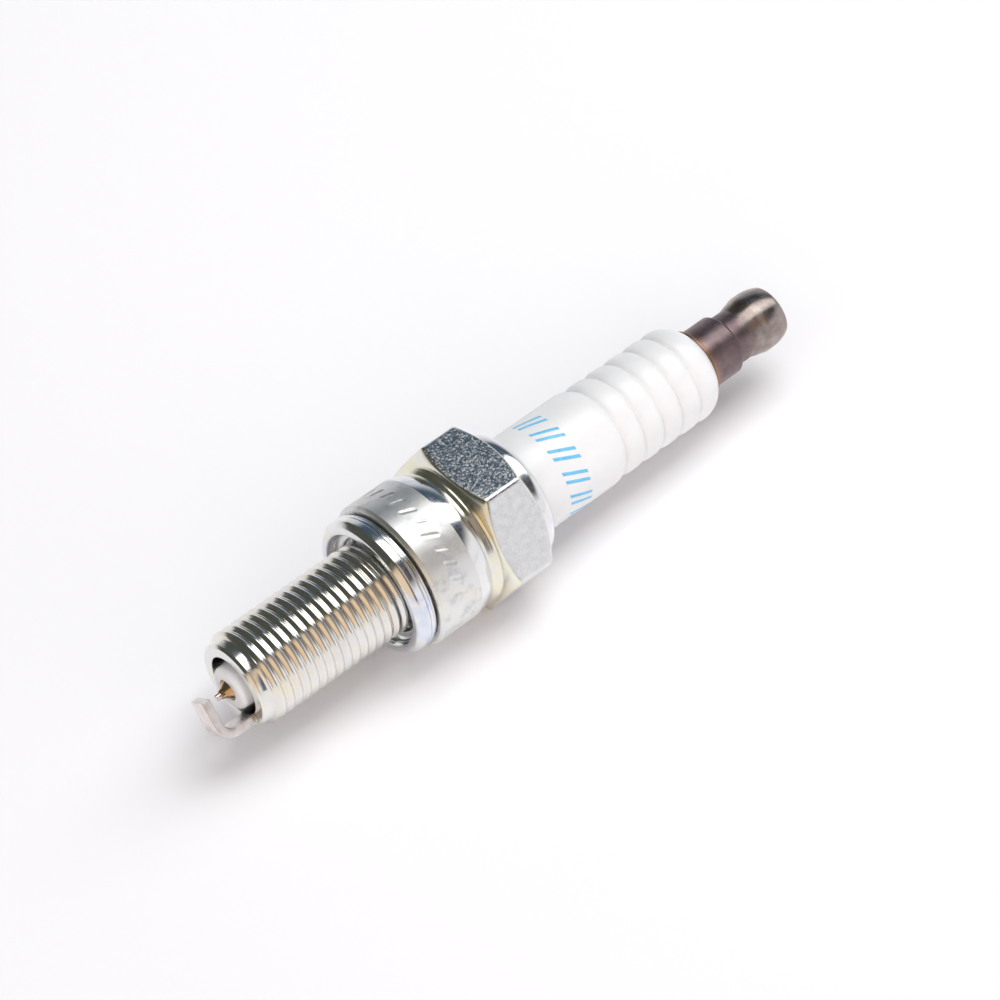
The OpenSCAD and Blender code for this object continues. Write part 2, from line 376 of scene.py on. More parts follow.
def flange_metal():
    """Plated and lightly mottled, with fine lines from turning."""
    s = Shader("plated_flange", Metallic=1.0)
    mottle = s.noise(620, 6.0, 0.65)
    stain = s.ramp(mottle, (0.34, (0.62, 0.65, 0.69)), (0.47, 1.0), (1.0, 1.0))
    inputs = {0: 0.5, 6: s.mix(0.55, tinted_plating(s, 330), SILVER), 7: stain}
    colour = s.node("Mix", inputs, data_type="RGBA", blend_type="MULTIPLY").outputs[2]
    lines = s.noise(1.0, 2.0, 0.6, s.stretched(16000, 300, 300))
    dents = s.noise(1100, 5.0, 0.6)
    roughness = s.between(mottle, 0.35, 0.6, 0.50, 0.40)
    normal = s.bump(lines, 0.002, 0.5, s.bump(dents, 0.016, 0.6))
    return s.connect(Base_Color=colour, Roughness=roughness, Normal=normal)


def hex_metal():
    """The cold-formed hex: a fine sparkling grain and a few light scratches."""
    s = Shader("plated_hex", Metallic=1.0)
    grain = s.noise(5200, 5.0, 0.7)
    patches = s.noise(1500, 4.0, 0.6)
    flecks = s.between(grain, 0.53, 0.68)
    base = s.ramp(patches, (0.35, (0.66, 0.665, 0.68)), (0.65, (0.77, 0.775, 0.78)))
    colour = s.mix(flecks, base, 0.86)
    scratch = s.noise(1.0, 2.0, 0.5, s.stretched(5200, 700, 700), 0.8)
    roughness = s.between(patches, 0.40, 0.70, 0.17, 0.26)
    normal = s.bump(flecks, 0.010, 0.8, s.bump(scratch, 0.006, 0.6))
    return s.connect(Base_Color=colour, Roughness=roughness, Normal=normal)


def chamfer_metal():
    """Turned faces beside the hex, with the most straw in their colour."""
    s = Shader("plated_chamfer", Metallic=1.0)
    colour = s.ramp(s.noise(520, 3.0, 0.5, distortion=0.5), (0.32, SILVER), (0.45, (0.84, 0.82, 0.70)),
                    (0.60, (0.82, 0.79, 0.62)), (0.75, SILVER))
    lines = s.noise(1.0, 2.0, 0.6, s.stretched(14000, 400, 400))
    roughness = s.between(s.noise(2200, 4.0), 0.3, 0.7, 0.16, 0.26)
    return s.connect(Base_Color=colour, Roughness=roughness, Normal=s.bump(lines, 0.002, 0.6))


def smooth_metal(name, dark, light):
    """Smooth plating that drifts between two tints, with fine lines round the axis."""
    s = Shader(name, Metallic=1.0)
    drift = s.noise(300, 3.0, 0.5, distortion=0.5)
    colour = s.ramp(drift, (0.30, dark), (0.45, light), (0.60, SILVER), (0.75, STRAW))
    lines = s.noise(1.0, 3.0, 0.6, s.stretched(12000, 500, 500))
    roughness = s.between(s.noise(1800, 4.0), 0.3, 0.7, 0.11, 0.22)
    normal = s.bump(lines, 0.002, 0.5, s.bump(s.noise(500, 2.0), 0.008, 0.4))
    return s.connect(Base_Color=colour, Roughness=roughness, Normal=normal)


def glaze():
    """White alumina under a clear glaze that has the faintest ripple."""
    s = Shader("glazed_alumina", Coat_Weight=0.2, Coat_Roughness=0.12, IOR=1.5)
    colour = s.ramp(s.noise(420, 4.0), (0.3, (0.78, 0.785, 0.79)), (0.6, (0.81, 0.815, 0.82)),
                    (0.8, (0.79, 0.795, 0.80)))
    roughness = s.between(s.noise(900, 3.0), 0.3, 0.7, 0.28, 0.38)
    normal = s.bump(s.noise(800, 2.0), 0.01, 0.3, s.bump(s.noise(4500, 3.0), 0.002, 0.3))
    return s.connect(Base_Color=colour, Roughness=roughness, Normal=normal)


def print_ink():
    """Azure ink, fired on the glaze, a little uneven in thickness."""
    s = Shader("print_ink")
    colour = s.ramp(s.noise(2600, 3.0), (0.3, (0.12, 0.48, 0.79)), (0.7, (0.18, 0.57, 0.86)))
    roughness = s.between(s.noise(1800, 2.0), 0.3, 0.7, 0.25, 0.42)
    return s.connect(Base_Color=colour, Roughness=roughness, Normal=s.bump(s.noise(6000, 2.0), 0.002, 0.5))


def terminal_metal():
    """Dark brown plating with a satin face, warmer by the collar and rubbed brighter on the head."""
    s = Shader("brown_plating", Metallic=1.0)
    x = s.axis_parts()[0]
    on_head = s.between(x, NECK_X[0] + 0.85, NECK_X[0] + 2.45)
    patches = s.noise(700, 4.0, 0.6)
    barrel = s.ramp(patches, (0.32, (0.16, 0.115, 0.12)), (0.5, (0.20, 0.145, 0.15)),
                    (0.68, (0.24, 0.185, 0.185)))
    head = s.ramp(patches, (0.32, (0.24, 0.20, 0.18)), (0.5, (0.31, 0.26, 0.24)),
                  (0.68, (0.40, 0.35, 0.33)))
    warm = s.between(x, INSULATOR_END + 1.3, INSULATOR_END + 0.2, 0.0, 0.5)
    colour = s.mix(warm, s.mix(on_head, barrel, head), (0.50, 0.27, 0.15))
    lines = s.noise(1.0, 3.0, 0.6, s.stretched(15000, 500, 500))
    uneven = s.between(s.noise(1700, 4.0), 0.3, 0.7, -0.05, 0.05)
    roughness = s.math("ADD", s.between(on_head, 0.0, 1.0, 0.40, 0.25), uneven)
    normal = s.bump(lines, 0.003, 0.5, s.bump(s.noise(2400, 3.0), 0.004, 0.4))
    return s.connect(Base_Color=colour, Roughness=roughness, Normal=normal)


def strap_metal():
    """Nickel alloy strip, drawn lengthwise and a little dull."""
    s = Shader("nickel_strip", Metallic=1.0)
    colour = s.ramp(s.noise(900, 4.0, 0.6), (0.32, (0.66, 0.60, 0.59)), (0.5, (0.80, 0.75, 0.73)),
                    (0.7, (0.86, 0.81, 0.78)))
    roughness = s.between(s.noise(2000, 4.0), 0.3, 0.7, 0.26, 0.42)
    normal = s.bump(s.noise(1.0, 3.0, 0.6, s.stretched(2500, 9000, 9000)), 0.006, 0.5)
    return s.connect(Base_Color=colour, Roughness=roughness, Normal=normal)


def electrode_metal():
    """Nickel alloy cone with the bronze tint that welding leaves."""
    s = Shader("electrode_alloy", Metallic=1.0)
    colour = s.ramp(s.noise(1500, 3.0), (0.3, (0.42, 0.27, 0.15)), (0.5, (0.62, 0.42, 0.25)),
                    (0.7, (0.74, 0.56, 0.38)))
    roughness = s.between(s.noise(2600, 3.0), 0.3, 0.7, 0.18, 0.34)
    return s.connect(Base_Color=colour, Roughness=roughness, Normal=s.bump(s.noise(5000, 3.0), 0.005, 0.5))


def tip_metal():
    """The fine wire, ground bright."""
    s = Shader("tip_wire", Metallic=1.0)
    colour = s.ramp(s.noise(3000, 3.0), (0.3, (0.74, 0.62, 0.57)), (0.7, (0.92, 0.83, 0.79)))
    roughness = s.between(s.noise(5000, 3.0), 0.3, 0.7, 0.14, 0.28)
    return s.connect(Base_Color=colour, Roughness=roughness, Normal=s.bump(s.noise(9000, 2.0), 0.003, 0.5))


def weld_metal():
    """Weld metal, splashed and half melted, with a straw tint."""
    s = Shader("weld_metal", Metallic=1.0)
    colour = s.ramp(s.noise(2400, 4.0), (0.3, (0.22, 0.18, 0.13)), (0.5, (0.55, 0.49, 0.36)),
                    (0.7, (0.90, 0.87, 0.76)))
    roughness = s.between(s.noise(3000, 4.0), 0.3, 0.7, 0.18, 0.45)
    return s.connect(Base_Color=colour, Roughness=roughness, Normal=s.bump(s.noise(4500, 5.0), 0.03, 0.7))


def inner_material(name, dark, light, metallic, rough):
    """A plain finish for a piece that is sealed inside."""
    s = Shader(name, Metallic=metallic)
    colour = s.ramp(s.noise(1600, 5.0, 0.6), (0.35, dark), (0.65, light))
    roughness = s.between(s.noise(2600, 3.0), 0.3, 0.7, rough - 0.1, rough + 0.1)
    return s.connect(Base_Color=colour, Roughness=roughness, Normal=s.bump(s.noise(3500, 4.0), 0.01, 0.5))


# ---------------------------------------------------------------- shell

THREAD_START = -17.95
THREAD_STOP = -1.2
THREAD_FADE = (0.3, 0.7)
FIRST_CREST = -17.1
THREAD_ROWS_PER_PITCH = 12
END_EDGE_R = 4.2
END_CHAMFER = 0.28
SEAT_EDGE_R = 7.45
SEAT_CHAMFER = 0.3
STAMPED_START = 1.1
STAMPED_ROWS = 32
STAMPED_ROW_STEP = 0.12
WAIST_STOP = 6.95
FLARE_X = 7.3
FLARE_R = 7.47
CURL = 1.3
STAMP_TURNS = range(-46, 107, 12)
STAMP_X = 2.75
STAMP_LEN = 0.95
STAMP_W = 0.22
STAMP_DEPTH = 0.09
STAMP_SLANT = 0.45

# The stepped hole, from the rim down to the mouth
THROAT_START = 14.8
CHAMBER_R = 6.0
CHAMBER_X = (5.45, 14.35)
SLEEVE_R = 3.45
SLEEVE_X = (-6.0, 2.9)
LEDGE_R = 2.85
LEDGE_X = (-7.4, -6.6)
MOUTH_TOP = -7.7
MOUTH_MIDDLE = -12


def thread_r(x, turn):
    """Radius of the helical thread, faded into the plain metal at both ends."""
    phase = (x - FIRST_CREST) / PITCH - (turn - NEAR_SIDE) / 360
    away = abs(phase - round(phase)) * PITCH
    fall = min(max((away - CREST_HALF) / FLANK_RUN, 0.0), 1.0)
    fall = 0.85 * fall + 0.15 * smooth(0, 1, fall)
    full = THREAD_R - THREAD_DEPTH * fall
    fade_in = smooth(THREAD_START, THREAD_START + THREAD_FADE[0], x)
    share = fade_in * smooth(THREAD_STOP, THREAD_STOP - THREAD_FADE[1], x)
    return PILOT_R + (full - PILOT_R) * share


def thread_row(step):
    """One line of points that follows the helix, held at the thread's two ends."""
    def row(turn):
        x = THREAD_START - PITCH + step * PITCH / THREAD_ROWS_PER_PITCH + PITCH * turn / 360
        x = min(max(x, THREAD_START), THREAD_STOP)
        return x, thread_r(x, turn)
    return row


def stroke_depth(along, across):
    """Depth of one stamped stroke at a distance along its length and across it."""
    beyond = max(abs(along) - STAMP_LEN / 2, 0)
    away = math.hypot(beyond, across)
    burr = 0.2 * STAMP_DEPTH * math.exp(-((away - 1.3 * STAMP_W) / (0.4 * STAMP_W)) ** 2)
    return STAMP_DEPTH * (1 - smooth(0.15 * STAMP_W, STAMP_W, away)) - burr


def stamp_depth(x, turn):
    """The flange's marks: a row of plain short strokes of uneven length round the side that shows."""
    signed = (turn + 180) % 360 - 180
    depth = 0
    for centre in STAMP_TURNS:
        offset = math.radians(signed - centre) * FLANGE_R
        if abs(offset) > 2.5:
            continue
        uneven = noise.noise(Vector((0.37 * centre, 0.5, 0.5)))
        along = x - STAMP_X - 0.4 * uneven
        depth += stroke_depth(along * (1 + 0.6 * uneven), offset - STAMP_SLANT * along)
    return depth


def flange_row(x):
    def row(turn):
        return x, FLANGE_R - stamp_depth(x, turn)
    return row


def hex_flat_r(turn):
    """Distance from the axis to the hex's flat, with its corner slightly rounded."""
    off = abs((turn + 30) % 60 - 30)
    corner = HEX_FLAT / math.cos(math.radians(28.8)) + 0.035
    return min(HEX_FLAT / math.cos(math.radians(off)), corner)


def hex_row(share, front):
    """A line of points across the hex. share 0 is the root of the chamfer, 1 the chamfer's edge and 2
    the middle of the hex."""
    corner_r = HEX_FLAT / math.cos(math.radians(30))
    slope = (0.85 if front else 1.15) / (corner_r - HEX_ROOT_R)
    root = HEX_START if front else HEX_END
    inward = 1 if front else -1
    def row(turn):
        flat_r = hex_flat_r(turn)
        edge = root + inward * slope * (flat_r - HEX_ROOT_R)
        if share <= 1:
            r = HEX_ROOT_R + (flat_r - HEX_ROOT_R) * share
            return root + (edge - root) * share, r
        middle = (HEX_START + HEX_END) / 2
        return edge + (middle - edge) * (share - 1), flat_r
    return row


def shoulder_row(share):
    """The shoulder behind the flange, which starts with a crease and steepens."""
    run = WAIST_START - FLANGE_LEN
    crease = 0.10
    steepening = (FLANGE_R - WAIST_R) / run - crease
    return FLANGE_LEN + run * share, FLANGE_R - run * share * (crease + steepening * share)


def build_shell():
    """The shell as one closed skin: mouth, thread, flange, hex, rim, and back through the stepped hole."""
    mouth = outline((SHELL_END + 0.4, MOUTH_R), (SHELL_END, MOUTH_R, 0.08), (SHELL_END, END_EDGE_R, 0.1),
                    (SHELL_END + END_CHAMFER, PILOT_R, 0.15), (THREAD_START, PILOT_R))
    pitches = (THREAD_STOP - THREAD_START) / PITCH
    thread = [thread_row(k) for k in range(int((pitches + 1) * THREAD_ROWS_PER_PITCH) + 2)]
    seat = outline((THREAD_STOP, PILOT_R), (0, PILOT_R, 0.2), (0, SEAT_EDGE_R, 0.12),
                   (SEAT_CHAMFER, FLANGE_R, 0.12), (0.9, FLANGE_R))
    flange = [flange_row(STAMPED_START + STAMPED_ROW_STEP * k) for k in range(STAMPED_ROWS)]
    waist = [(FLANGE_LEN - 0.03, FLANGE_R)] + [shoulder_row(k / 14) for k in range(15)]
    flare = outline((WAIST_START + 0.02, WAIST_R), (WAIST_STOP, WAIST_R, 0.1), (FLARE_X, FLARE_R, 0.3),
                    (HEX_START, HEX_ROOT_R - 0.05))
    front = [hex_row(share, True) for share in (0, 0.5, 0.97, 1.015, 1.2, 2)]
    back = [hex_row(share, False) for share in (1.2, 1.015, 0.97, 0.5, 0)]
    rim_start = HEX_END + 0.02
    rim = outline((rim_start, HEX_ROOT_R - 0.1), (rim_start, RIM_R, 0.12), (RIM_END - CURL, RIM_R))
    curl = arc(RIM_END - CURL + 0.02, RIM_END, RIM_R, RIM_R - CURL, steps=10)
    throat_r = BODY_R + 0.02
    hole = outline((RIM_END, RIM_R - CURL - 0.05), (RIM_END, throat_r, 0.08), (THROAT_START, throat_r),
                   (CHAMBER_X[1], CHAMBER_R), (CHAMBER_X[0], CHAMBER_R), (SLEEVE_X[1], SLEEVE_R),
                   (SLEEVE_X[0], SLEEVE_R), (LEDGE_X[1], LEDGE_R), (LEDGE_X[0], LEDGE_R),
                   (MOUTH_TOP, MOUTH_R), (MOUTH_MIDDLE, MOUTH_R))
    parts = [(mouth, 0), (thread, 0), (seat, 1), (flange, 1), (waist, 4), (flare, 3), (front, 3), (back, 2),
             (rim, 4), (curl, 4), (hole, 0)]
    rows = []
    zones = []
    for part, zone in parts:
        rows += part
        zones += [zone] * len(part)
    flats_from = rows.index(front[3])
    flats_to = rows.index(back[1])
    zones[flats_from:flats_to + 1] = [2] * (flats_to + 1 - flats_from)
    zones[flats_to + 1:flats_to + 4] = [3] * 3
    mesh = revolved_mesh("shell_skin", rows, FINE_COLUMNS, closed=True, zones=zones)
    bright = smooth_metal("plated_shoulder", (0.70, 0.75, 0.82), (0.80, 0.81, 0.82))
    metals = [thread_metal(), flange_metal(), hex_metal(), chamfer_metal(), bright]
    return finish_mesh("shell_skin", mesh, PLUG, metals, ["shell"])


# ---------------------------------------------------------------- insulator

RIB_R = 5.09
GROOVE_R = 4.70
RIB_EDGE = 0.85
RIB_PITCH = 2.5
FIRST_GROOVE = 26.6
RIBS = 5
END_RUN = 2.39
END_DROP = 1.48
NOSE_R = 2.25
NOSE_ROUND = 0.8
NOSE_ROOT_R = 2.7
NOSE_ROOT_X = (-6.5, -5.8)
CORE_R = 3.35
SHOULDER_R = 5.9
SHOULDER_X = (3.1, 5.6, 10.6, 11.1)
SEALED_R = 5.05
PLAIN_END = 25.0
BORE_R = 1.1
STEM_BORE_R = 1.65
BORE_STEP = (-3.0, -2.5)


def build_insulator():
    """The glazed body with its ribs, and the nose in the firing end, as one closed skin."""
    nose = outline((NOSE_END + 0.6, BORE_R), (NOSE_END, BORE_R, 0.08), (NOSE_END, NOSE_R, NOSE_ROUND),
                   (NOSE_ROOT_X[0], NOSE_ROOT_R), (NOSE_ROOT_X[1], CORE_R), (SHOULDER_X[0], CORE_R),
                   (SHOULDER_X[1], SHOULDER_R), (SHOULDER_X[2], SHOULDER_R), (SHOULDER_X[3], SEALED_R),
                   (THROAT_START, SEALED_R), (RIM_END - 0.4, BODY_R), (PLAIN_END, BODY_R), steps=10)
    ribs = arc(PLAIN_END, FIRST_GROOVE, BODY_R, GROOVE_R)
    for i in range(RIBS):
        groove = FIRST_GROOVE + i * RIB_PITCH
        ribs += arc(groove + RIB_EDGE, groove, RIB_R, GROOVE_R)
        if i < RIBS - 1:
            ribs += arc(groove + RIB_PITCH - RIB_EDGE, groove + RIB_PITCH, RIB_R, GROOVE_R)
    end = arc(INSULATOR_END - END_RUN, INSULATOR_END, RIB_R, RIB_R - END_DROP, steps=16)
    hole = [(INSULATOR_END, STEM_BORE_R), (BORE_STEP[1], STEM_BORE_R), (BORE_STEP[0], BORE_R)]
    mesh = revolved_mesh("insulator_body", nose + ribs + end + hole, 216, closed=True)
    return finish_mesh("insulator_body", mesh, PLUG, [glaze()], ["insulator"])


PRINT_X = (18.75, 21.45)
PRINT_PAIRS = 6
PRINT_FIRST_TURN = NEAR_SIDE - 66
PRINT_PAIR_STEP = 28
PRINT_BAR_STEP = 10
PRINT_W = 0.36
PRINT_SLANT = 0.42
PRINT_LIFT = 0.012
PRINT_FILM = 0.02


def build_print():
    """A row of plain slanted bars in ink, wrapped round the side of the insulator that shows."""
    points = []
    faces = []
    rows = 14
    columns = 4
    bars = [(pair, bar) for pair in range(PRINT_PAIRS) for bar in range(2)]
    for pair, bar in bars:
        turn = PRINT_FIRST_TURN + PRINT_PAIR_STEP * pair + PRINT_BAR_STEP * bar
        first = len(points)
        for i in range(rows + 1):
            x = PRINT_X[0] + (PRINT_X[1] - PRINT_X[0]) * i / rows
            for j in range(columns + 1):
                across = PRINT_W * (j / columns - 0.5) + PRINT_SLANT * (x - PRINT_X[0])
                points.append(place(x, BODY_R + PRINT_LIFT, turn + math.degrees(across / BODY_R)))
        for i in range(rows):
            for j in range(columns):
                a = first + i * (columns + 1) + j
                faces.append((a, a + 1, a + columns + 2, a + columns + 1))
    mesh = bpy.data.meshes.new("print_bars")
    mesh.from_pydata(points, [], faces)
    piece = finish_mesh("print_bars", mesh, PLUG, [print_ink()])
    film = piece.modifiers.new("film", "SOLIDIFY")
    film.thickness = PRINT_FILM * MM
    film.offset = -1
    return piece


# ---------------------------------------------------------------- terminal

HEAD_SLOPE_X = 47.2
HEAD_X = (47.75, 48.5)
HEAD_EDGE_R = 2.8
HEAD_FACE_R = 2.62
STEM_R = 1.2
SHANK_R = 1.57
STEM_X = (10.5, 13.5)


def build_terminal():
    """The one-piece terminal: collar, barrel, neck and rounded head, with its stem in the insulator."""
    stem = outline((STEM_X[0], 0), (STEM_X[0], STEM_R), (STEM_X[1], STEM_R), (STEM_X[1], SHANK_R),
                   (INSULATOR_END - 0.02, SHANK_R))
    collar = outline((INSULATOR_END, SHANK_R + 0.03), (INSULATOR_END, COLLAR_R - 0.03, 0.15),
                     (INSULATOR_END + 0.42, COLLAR_R - 0.06, 0.18), (INSULATOR_END + 0.55, TERMINAL_R, 0.12),
                     (BARREL_END, TERMINAL_R, 0.1), (NECK_X[0], 2.72, 0.35), (NECK_X[1], 2.70, 0.9),
                     (HEAD_SLOPE_X, 3.03, 0.8), (HEAD_X[0], TERMINAL_R))
    head = arc(HEAD_X[1], TERMINAL_TOP - 0.12, TERMINAL_R, HEAD_EDGE_R, steps=12)
    face = outline((TERMINAL_TOP - 0.1, HEAD_EDGE_R - 0.02), (TERMINAL_TOP, HEAD_FACE_R, 0.1),
                   (TERMINAL_TOP, 0.0))
    mesh = revolved_mesh("terminal", stem + collar + head + face, 144)
    return finish_mesh("terminal", mesh, PLUG, [terminal_metal()], ["terminal_stud"])


# ---------------------------------------------------------------- electrodes

STRAP_TURN = 142
STRAP_W = 2.3
STRAP_T = 0.9
LEG_R = 2.95
BEND_R = 1.0
STRAP_PAST = 0.75
SPARK_GAP = 1.0
CONE_R = 1.04
CONE_END_R = 0.42
HEAD_R = 1.5
WELD_R = 0.24
WELD_AROUND = 14
WELD_ALONG = 18


def build_centre_electrode():
    """The cone that stands out of the nose, and the wire tip let into it."""
    cone_start = NOSE_END + 0.1
    cone_end = electrode_low.x
    cone = outline((cone_end, 0), (cone_end, CONE_END_R, 0.08), (cone_end + 0.35, CONE_END_R + 0.1, 0.3),
                   (cone_start, CONE_R, 0.1), (BORE_STEP[0], CONE_R), (BORE_STEP[1], HEAD_R),
                   (electrode_high.x, HEAD_R), (electrode_high.x, 0))
    mesh = revolved_mesh("centre_cone", cone, 72)
    finish_mesh("centre_cone", mesh, PLUG, [electrode_metal()], ["centre_electrode"])
    tip_r = tip_high.z
    tip = outline((tip_low.x, 0), (tip_low.x, tip_r, 0.07), (cone_end - 0.05, tip_r),
                  (cone_end + 0.05, tip_r + 0.05), (tip_high.x, tip_r), (tip_high.x, 0))
    mesh = revolved_mesh("tip_wire", tip, 48)
    finish_mesh("tip_wire", mesh, PLUG, [tip_metal()], ["centre_tip"])


def strap_outline():
    """The strap seen edge on, as (x, r) points round its outline."""
    face = tip_low.x - SPARK_GAP
    bend_x = face + BEND_R
    bend_y = LEG_R - BEND_R
    steps = 14
    inner = [(SHELL_END + 0.02, LEG_R)]
    outer = [(SHELL_END + 0.02, LEG_R + STRAP_T)]
    for k in range(steps + 1):
        a = math.pi / 2 * k / steps
        for side, radius in ((inner, BEND_R), (outer, BEND_R + STRAP_T)):
            side.append((bend_x - radius * math.sin(a), bend_y + radius * math.cos(a)))
    inner.append((face, -STRAP_PAST))
    outer.append((face - STRAP_T, -STRAP_PAST))
    return inner + outer[::-1]


def build_strap():
    """The ground electrode: a flat strip bent once, with rolled edges."""
    section = strap_outline()
    turn = Matrix.Rotation(math.radians(STRAP_TURN), 4, "X")
    mesh = bpy.data.meshes.new("ground_strap")
    points = []
    for side in (-1, 1):
        points += [turn @ (Vector((x, -side * STRAP_W / 2, r)) * MM) for x, r in section]
    count = len(section)
    half = count // 2
    faces = [(k, (k + 1) % count, count + (k + 1) % count, count + k) for k in range(count)]
    for base in (0, count):
        for k in range(half - 1):
            faces.append((base + k, base + k + 1, base + count - 2 - k, base + count - 1 - k))
    mesh.from_pydata(points, [], faces)
    work = bmesh.new()
    work.from_mesh(mesh)
    bmesh.ops.recalc_face_normals(work, faces=work.faces)
    edges = [e for e in work.edges if e.calc_face_angle(0) > math.radians(40)]
    bmesh.ops.bevel(work, geom=edges, offset=0.12 * MM, segments=3, profile=0.5, affect="EDGES")
    work.to_mesh(mesh)
    work.free()
    return finish_mesh("ground_strap", mesh, PLUG, [strap_metal()], ["ground_electrode"])


def build_weld():
    """Small rough beads of weld metal along both sides of the strap's root."""
    points = []
    faces = []
    turn = Matrix.Rotation(math.radians(STRAP_TURN), 4, "X")
    for side in (-1, 1):
        first = len(points)
        for i in range(WELD_ALONG + 1):
            share = i / WELD_ALONG
            r = LEG_R - 0.1 + share * (STRAP_T + 0.15)
            size = WELD_R * math.sqrt(max(1 - (2 * share - 1) ** 2, 0.0)) + 0.004
            for j in range(WELD_AROUND):
                a = 2 * math.pi * j / WELD_AROUND
                where = Vector((share * 5 + side * 7, math.cos(a) * 1.4, math.sin(a) * 1.4))
                rough = 1 + 0.45 * noise.noise(where)
                x = SHELL_END - 0.02 + 0.8 * size * rough * math.cos(a)
                across = side * (STRAP_W / 2 + 0.02) + size * rough * math.sin(a)
                points.append(turn @ (Vector((x, -across, r)) * MM))
        for i in range(WELD_ALONG):
            for j in range(WELD_AROUND):
                a = first + i * WELD_AROUND + j
                b = first + i * WELD_AROUND + (j + 1) % WELD_AROUND
                faces.append((a, b, b + WELD_AROUND, a + WELD_AROUND))
        faces.append(tuple(range(first, first + WELD_AROUND)))
        last = first + WELD_ALONG * WELD_AROUND
        faces.append(tuple(range(last, last + WELD_AROUND)))
    mesh = bpy.data.meshes.new("weld_beads")
    mesh.from_pydata(points, [], faces)
    work = bmesh.new()
    work.from_mesh(mesh)
    bmesh.ops.recalc_face_normals(work, faces=work.faces)
    work.to_mesh(mesh)
    work.free()
    return finish_mesh("weld_beads", mesh, PLUG, [weld_metal()])


# ---------------------------------------------------------------- gasket


LIP_R = 4.8
LIP_T = 0.3
LEAF_R = 5.2
LEAF_IN = 1.1
ROLL_R = 5.95
LEAF_STEP = 0.06
LAST_LEAF_T = 0.32
GROOVE_PITCH = 0.42
GROOVE_DEPTH = 0.3
GROOVE_HALF = 0.04


def build_gasket():
    """The folded seat washer: a rolled front, thin leaves behind it, and a lip inside."""
    front = gasket_low.x
    back = gasket_high.x
    outer = gasket_high.z
    second_r = outer - LEAF_STEP
    second_groove = back - LAST_LEAF_T
    first_groove = second_groove - GROOVE_PITCH
    roll = [(front + LEAF_IN, ROLL_R), (front + 0.4, ROLL_R, 0.2), (front, 6.2, 0.3), (front, 6.85, 0.5),
            (front + 0.6, outer, 0.6)]
    leaves = [(first_groove - GROOVE_HALF, outer, 0.12), (first_groove, outer - GROOVE_DEPTH, 0.03),
              (first_groove + GROOVE_HALF, second_r, 0.08), (second_groove - GROOVE_HALF, second_r, 0.12),
              (second_groove, second_r - GROOVE_DEPTH, 0.03), (second_groove + GROOVE_HALF, outer - 0.2, 0.06),
              (back, outer - 0.25, 0.1)]
    section = outline((back - LIP_T, LIP_R), (back - LIP_T, LEAF_R), (front + LEAF_IN, LEAF_R, 0.15),
                      *roll, *leaves, (back, LIP_R), steps=6)
    metal = smooth_metal("plated_gasket", (0.66, 0.72, 0.84), (0.82, 0.83, 0.86))
    mesh = revolved_mesh("seat_gasket", section, 240, closed=True)
    return finish_mesh("seat_gasket", mesh, GASKET, [metal], ["gasket"])


# ---------------------------------------------------------------- pieces sealed inside


def finish_inner_nodes():
    glass = inner_material("seal_glass", (0.10, 0.11, 0.13), (0.24, 0.26, 0.30), 0.0, 0.3)
    carbon = inner_material("resistor_body", (0.05, 0.05, 0.05), (0.13, 0.13, 0.14), 0.0, 0.6)
    copper = inner_material("copper", (0.62, 0.28, 0.16), (0.80, 0.44, 0.28), 1.0, 0.3)
    steel = inner_material("packing_steel", (0.45, 0.45, 0.47), (0.68, 0.68, 0.69), 1.0, 0.35)
    talc = inner_material("pressed_talc", (0.78, 0.77, 0.72), (0.90, 0.89, 0.86), 0.0, 0.8)
    finishes = {
        "upper_glass_seal": glass, "lower_glass_seal": glass, "resistor": carbon, "electrode_core": copper,
        "seat_packing": steel, "lower_packing_ring": steel, "upper_packing_ring": steel, "talc_ring": talc,
    }
    for node, material in finishes.items():
        for slot in frame["nodes"][node].material_slots:
            slot.material = material


# ---------------------------------------------------------------- floor and light

FLOOR_HALF_WIDTH = 3.0

def build_floor():
    """A wide pale sheet under the plug."""
    mesh = bpy.data.meshes.new("floor")
    side = FLOOR_HALF_WIDTH
    z = FLOOR * MM
    corners = [(-side, -side, z), (side, -side, z), (side, side, z), (-side, side, z)]
    mesh.from_pydata(corners, [], [(0, 1, 2, 3)])
    floor = bpy.data.objects.new("floor", mesh)
    bpy.context.scene.collection.objects.link(floor)
    s = Shader("pale_floor", Roughness=0.7)
    colour = s.ramp(s.noise(12, 2.0), (0.3, (0.915, 0.912, 0.93)), (0.7, (0.925, 0.922, 0.94)))
    mesh.materials.append(s.connect(Base_Color=colour))


def soft_light(name, place_m, aim_m, size_m, radiance, colour, mirrored=False):
    """A rectangular softbox of a given radiance. It shows in reflections only if it is mirrored."""
    width, height = size_m
    data = bpy.data.lights.new(name, "AREA")
    data.shape = "RECTANGLE"
    data.size = width
    data.size_y = height
    data.energy = radiance * math.pi * width * height
    data.color = colour
    lamp = bpy.data.objects.new(name, data)
    lamp.location = place_m
    lamp.rotation_euler = (Vector(place_m) - Vector(aim_m)).to_track_quat("Z", "Y").to_euler()
    lamp.visible_glossy = mirrored
    bpy.context.scene.collection.objects.link(lamp)


PALE = (0.96, 0.96, 0.975)
HORIZON = (0.96, 0.95, 0.97)
HORIZON_BEHIND = (0.70, 0.73, 0.78)
BEHIND = (0.055, 0.09, 0.13)
CAMERA_SIDE = (0.85, 0.66, 0.50)
CAMERA_SHADE = (0.06, 0.065, 0.085)
SIDE_SHADE = (0.10, 0.11, 0.17)
WARM_END = (0.94, 0.72, 0.47)
DARK_END = (0.075, 0.08, 0.07)


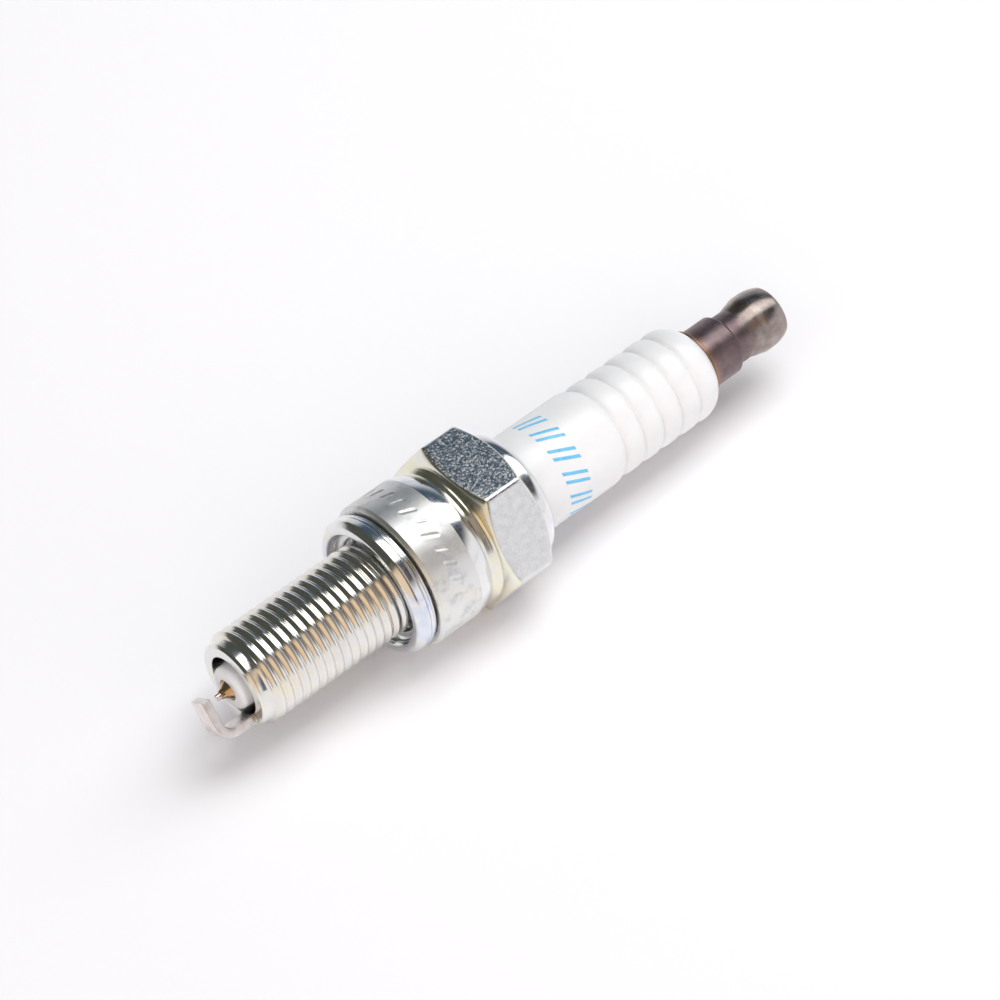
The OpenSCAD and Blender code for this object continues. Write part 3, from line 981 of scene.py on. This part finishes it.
def build_world():
    """A studio with a bright horizon, which is dark blue high up behind the plug, shaded where the camera
    stands, dark over the firing end and warm low down beyond it. The camera itself sees an even pale sky."""
    world = bpy.data.worlds.new("studio")
    bpy.context.scene.world = world
    world.use_nodes = True
    tree = world.node_tree
    nodes = tree.nodes
    background = nodes["Background"]
    parts = nodes.new("ShaderNodeSeparateXYZ")
    tree.links.new(nodes.new("ShaderNodeTexCoord").outputs["Generated"], parts.inputs[0])
    x, y, z = parts.outputs

    def share(value, low, high):
        made = nodes.new("ShaderNodeMapRange")
        made.inputs["From Min"].default_value = low
        made.inputs["From Max"].default_value = high
        tree.links.new(value, made.inputs["Value"])
        return made.outputs[0]

    def blend(factor, a, b):
        made = nodes.new("ShaderNodeMix")
        made.data_type = "RGBA"
        tree.links.new(factor, made.inputs[0])
        for index, value in ((6, a), (7, b)):
            if isinstance(value, bpy.types.NodeSocket):
                tree.links.new(value, made.inputs[index])
            else:
                made.inputs[index].default_value = (*value, 1.0)
        return made.outputs[2]

    lean = nodes.new("ShaderNodeMath")
    lean.operation = "MULTIPLY_ADD"
    lean.inputs[1].default_value = 0.5
    tree.links.new(z, lean.inputs[0])
    tree.links.new(y, lean.inputs[2])
    towards_end = share(x, 0.36, 0.22)
    behind = blend(share(z, 0.45, 0.20), BEHIND, HORIZON_BEHIND)
    behind = blend(towards_end, behind, DARK_END)
    camera_side = blend(towards_end, CAMERA_SHADE, CAMERA_SIDE)
    front = blend(share(z, 0.52, 0.28), camera_side, HORIZON)
    side = blend(share(x, -0.38, -0.52), SIDE_SHADE, WARM_END)
    front = blend(share(x, 0.12, -0.08), front, side)
    sky = blend(share(lean.outputs[0], 0.03, -0.06), behind, front)
    sky = blend(share(z, 0.06, 0.0), sky, HORIZON)
    tree.links.new(sky, background.inputs["Color"])
    pale = nodes.new("ShaderNodeBackground")
    pale.inputs["Color"].default_value = (*PALE, 1.0)
    choose = nodes.new("ShaderNodeMixShader")
    tree.links.new(nodes.new("ShaderNodeLightPath").outputs["Is Camera Ray"], choose.inputs[0])
    tree.links.new(background.outputs[0], choose.inputs[1])
    tree.links.new(pale.outputs[0], choose.inputs[2])
    tree.links.new(choose.outputs[0], nodes["World Output"].inputs["Surface"])


def build_stage():
    """The floor, the sky and four soft lights. Only the overhead one shows in reflections."""
    build_floor()
    build_world()
    soft_light("overhead_box", (0.58, 0, 0.50), (0.58, 0, 0), (1.28, 0.36), 2.5, (1.0, 1.0, 0.985), True)
    soft_light("fill_box", (-0.45, -0.05, 0.90), (-0.45, -0.05, 0), (2.0, 0.5), 1.2, (0.98, 0.97, 1.0))
    soft_light("near_fill", (0.0, -0.80, 0.60), (0, 0, 0), (1.4, 0.8), 0.5, (0.96, 0.94, 1.0))
    soft_light("end_fill", (-0.75, -0.45, 0.50), (0, 0, 0), (1.0, 0.8), 1.2, (0.95, 0.94, 1.0))
    bpy.context.scene.view_settings.view_transform = "Standard"


# ---------------------------------------------------------------- everything

build_shell()
build_insulator()
build_print()
build_terminal()
build_centre_electrode()
build_strap()
build_weld()
build_gasket()
finish_inner_nodes()
build_stage()
